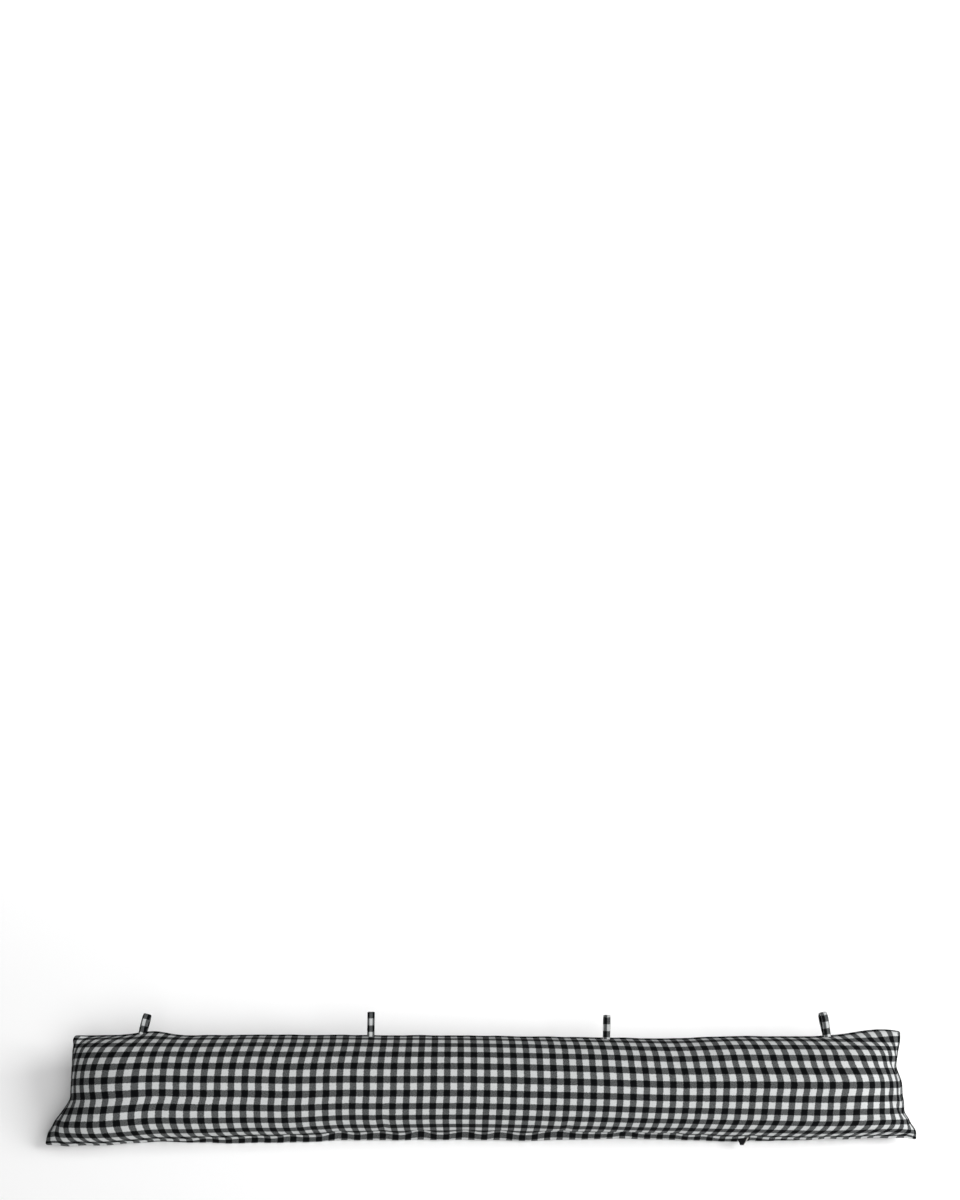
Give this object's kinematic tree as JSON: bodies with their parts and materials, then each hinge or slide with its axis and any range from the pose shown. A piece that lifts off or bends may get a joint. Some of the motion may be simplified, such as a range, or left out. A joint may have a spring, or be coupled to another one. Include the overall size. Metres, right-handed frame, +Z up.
{
  "type": "draught excluder",
  "caption": "Long stuffed draught excluder of black, grey and white gingham with pointed corners, a sewn edge, narrow hanging loops in the back seam and a blank tab.",
  "frame": {"origin": "on the floor under the middle of the cushion's length, on its flattened underside", "axes": "+X along the cushion, -Y towards the room and the front seam, +Z up"},
  "size_m": [0.89, 0.1361, 0.0861],
  "materials": {
    "gingham": "plain-weave cotton gingham in black and white, matt",
    "tab_cloth": "black woven ribbon, matt"
  },
  "bodies": {
    "root": {"cushion": "gingham", "loop_1": "gingham", "loop_2": "gingham", "loop_3": "gingham", "loop_4": "gingham", "seam_tab": "tab_cloth"}
  },
  "joints": []
}
